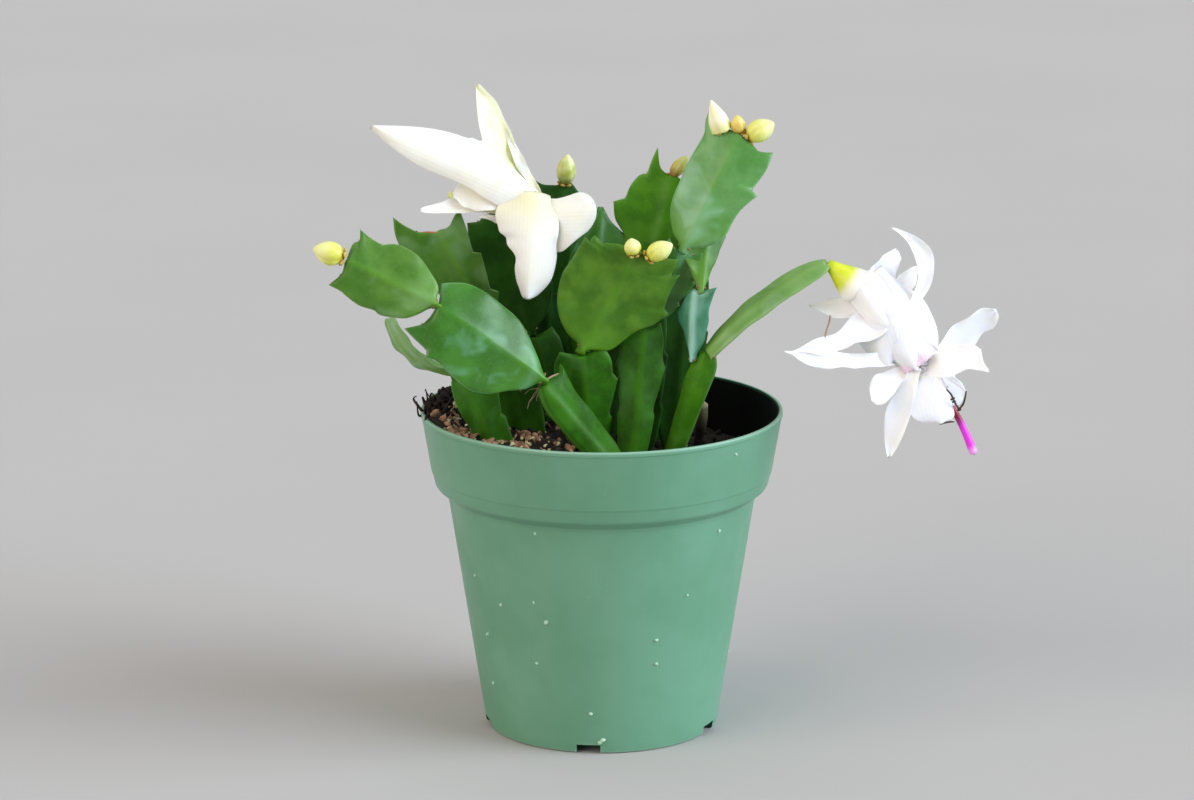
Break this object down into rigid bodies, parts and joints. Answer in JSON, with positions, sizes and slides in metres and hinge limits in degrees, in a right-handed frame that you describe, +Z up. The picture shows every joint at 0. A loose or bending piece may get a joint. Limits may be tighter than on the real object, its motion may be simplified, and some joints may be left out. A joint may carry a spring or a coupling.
{
  "type": "potted christmas cactus",
  "caption": "Small flowering holiday cactus with toothed flat stem pads, buds and two pale flowers, in a round tapered nursery pot with potting mix.",
  "frame": {"origin": "centre of the flat disc under the pot, on the surface it stands on", "axes": "+Z up, -Y the front of the plant, +X its right as seen from the front"},
  "size_m": [0.1981, 0.108, 0.1949],
  "materials": {
    "pot_plastic": "moulded sage green, satin",
    "potting_mix": "loose peat, bark and perlite",
    "stem_base": "waxy green skin",
    "pad_green": "waxy mid green skin",
    "pad_blue_green": "waxy blue green skin with bloom",
    "pad_dark_green": "waxy dark green skin",
    "bud_yellow": "satin yellow green bud",
    "bud_orange": "satin orange brown bud",
    "tepal_cream": "silky cream petal",
    "tepal_white": "silky white petal",
    "stamen": "pale filament",
    "style_magenta": "satin magenta"
  },
  "bodies": {
    "root": {"pot": "pot_plastic", "potting_mix": "potting_mix", "front_left_stem": "stem_base", "right_stem": "stem_base", "centre_stem": "stem_base", "tall_stem": "stem_base", "left_stem": "stem_base", "upper_left_stem": "stem_base", "flower_stem": "stem_base", "top_stem": "stem_base", "back_right_stem": "stem_base", "back_stem": "stem_base", "back_left_stem": "stem_base", "left_small_stem": "stem_base", "front_left_pad": "pad_blue_green", "front_left_tip_pad": "pad_green", "right_arching_pad": "pad_green", "right_inner_pad": "pad_blue_green", "right_upper_pad": "pad_green", "centre_pad": "pad_dark_green", "centre_back_pad": "pad_blue_green", "tall_middle_pad": "pad_blue_green", "tall_right_pad": "pad_blue_green", "tall_left_pad": "pad_green", "left_curved_pad": "pad_green", "upper_left_pad": "pad_green", "flower_pad": "pad_dark_green", "top_pad": "pad_dark_green", "back_right_pad": "pad_green", "back_pad": "pad_green", "back_left_pad": "pad_green", "left_yellow_bud": "bud_yellow", "centre_small_bud": "bud_yellow", "centre_yellow_bud": "bud_yellow", "tall_yellow_bud": "bud_yellow", "top_bud": "bud_yellow", "tall_cream_bud": "tepal_cream", "tall_orange_bud": "bud_orange", "tall_left_bud": "bud_orange", "left_flower_tube": "tepal_cream", "left_flower_left_tepal": "tepal_cream", "left_flower_upper_tepal": "tepal_cream", "left_flower_low_left_tepal": "tepal_cream", "left_flower_tongue": "tepal_cream", "left_flower_right_tepal": "tepal_cream", "left_flower_under_tepal": "tepal_cream", "right_flower_ovary": "bud_yellow", "right_flower_tube": "tepal_white", "right_flower_upper_tepal": "tepal_white", "right_flower_recurved_tepal": "tepal_white", "right_flower_left_tepal": "tepal_white", "right_flower_low_left_tepal": "tepal_white", "right_flower_inner_right_tepal": "tepal_white", "right_flower_inner_spike_tepal": "tepal_white", "right_flower_inner_left_tepal": "tepal_white", "right_flower_inner_low_tepal": "tepal_white", "right_flower_inner_middle_tepal": "tepal_white", "right_flower_stamens": "stamen", "right_flower_style": "style_magenta"}
  },
  "joints": []
}
